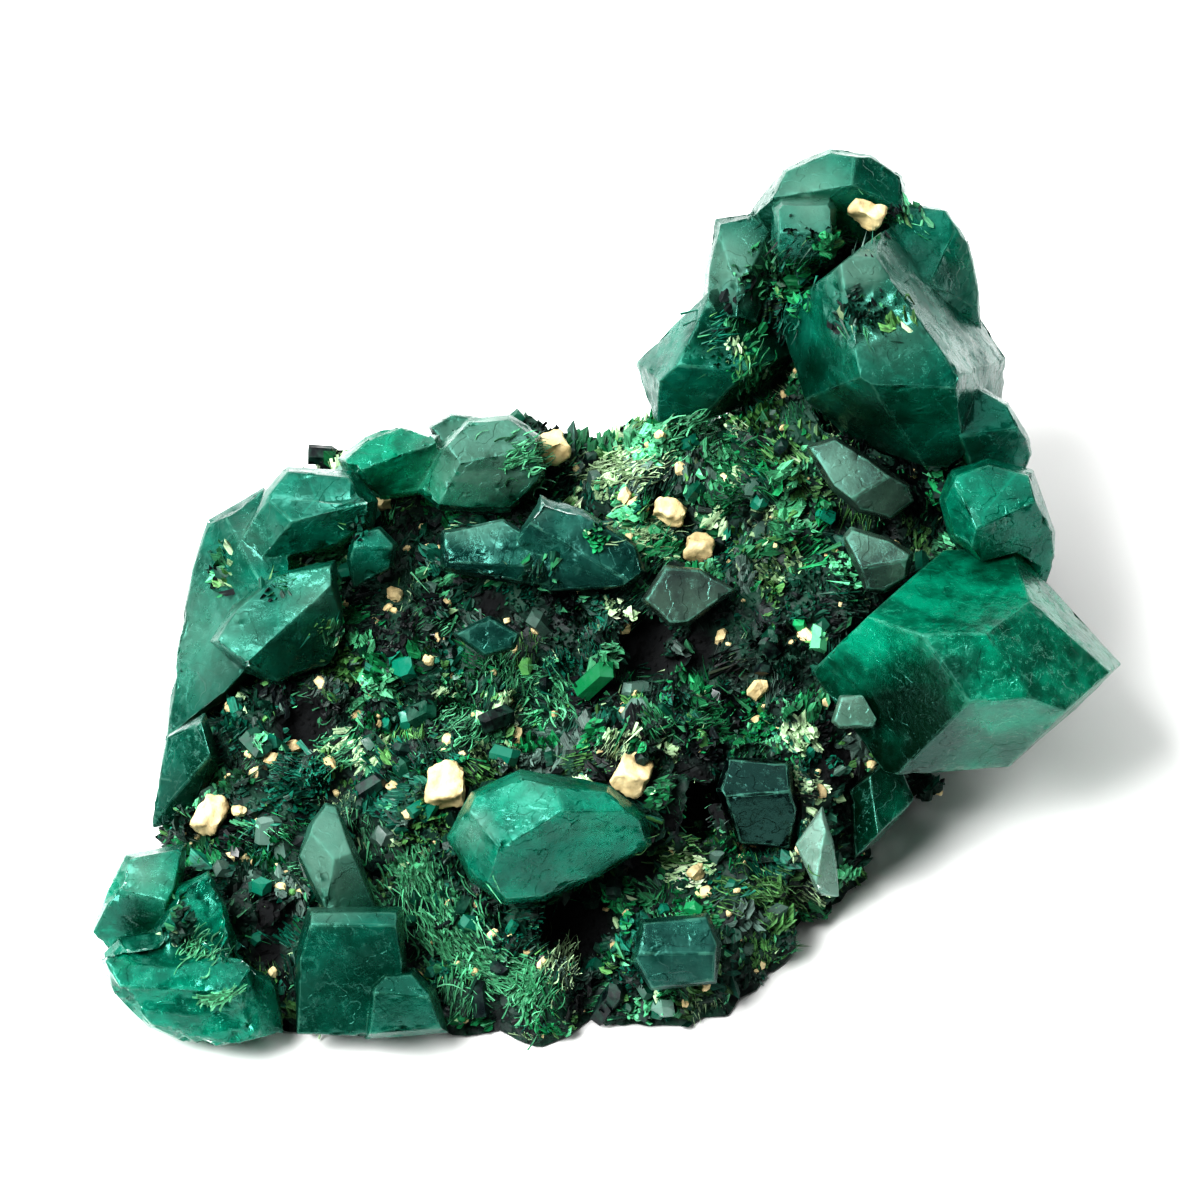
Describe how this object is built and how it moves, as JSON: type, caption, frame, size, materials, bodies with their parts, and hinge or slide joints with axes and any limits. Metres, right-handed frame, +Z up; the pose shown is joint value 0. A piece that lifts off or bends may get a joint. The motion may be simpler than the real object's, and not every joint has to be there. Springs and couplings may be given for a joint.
{
  "type": "dioptase mineral specimen",
  "caption": "Cluster of dark green dioptase crystals on a crusted piece of rock, cut flat to rest on, with a taller crystal group at one back corner.",
  "frame": {"origin": "middle of the bounding box at the height of the flat cut base", "axes": "+Z up, -Y towards the side the crust faces, +X towards the single pointed crystal"},
  "size_m": [0.0608, 0.0502, 0.029],
  "materials": {
    "dioptase": "glassy, clear inside, with growth steps and clouded faces",
    "rock": "rough crust of small green crystals, fibres and rubble over dark rock",
    "calcite": "dull cream grains"
  },
  "bodies": {
    "root": {"rock_with_crust": "rock", "tower_crystals": "dioptase", "right_point_crystal": "dioptase", "tower_foot_crystal": "dioptase", "rim_crystals": "dioptase", "rim_low_crystal": "dioptase", "rim_small_crystal": "dioptase", "back_crystals": "dioptase", "back_small_crystal": "dioptase", "corner_crystals": "dioptase", "front_crystals": "dioptase", "bright_crystal": "dioptase", "slate_crystals": "dioptase", "slate_diamond": "dioptase", "small_diamond": "dioptase", "slope_upper_crystal": "dioptase", "slope_lower_crystal": "dioptase", "pale_chip": "dioptase", "front_square": "dioptase", "dark_hollow_crystal": "dioptase", "edge_blade": "dioptase", "edge_crystal": "dioptase", "tower_grain": "calcite", "slope_grain": "calcite", "centre_grain": "calcite", "left_grain": "calcite", "front_grain": "calcite", "edge_grain": "calcite", "back_grain": "calcite"}
  },
  "joints": []
}
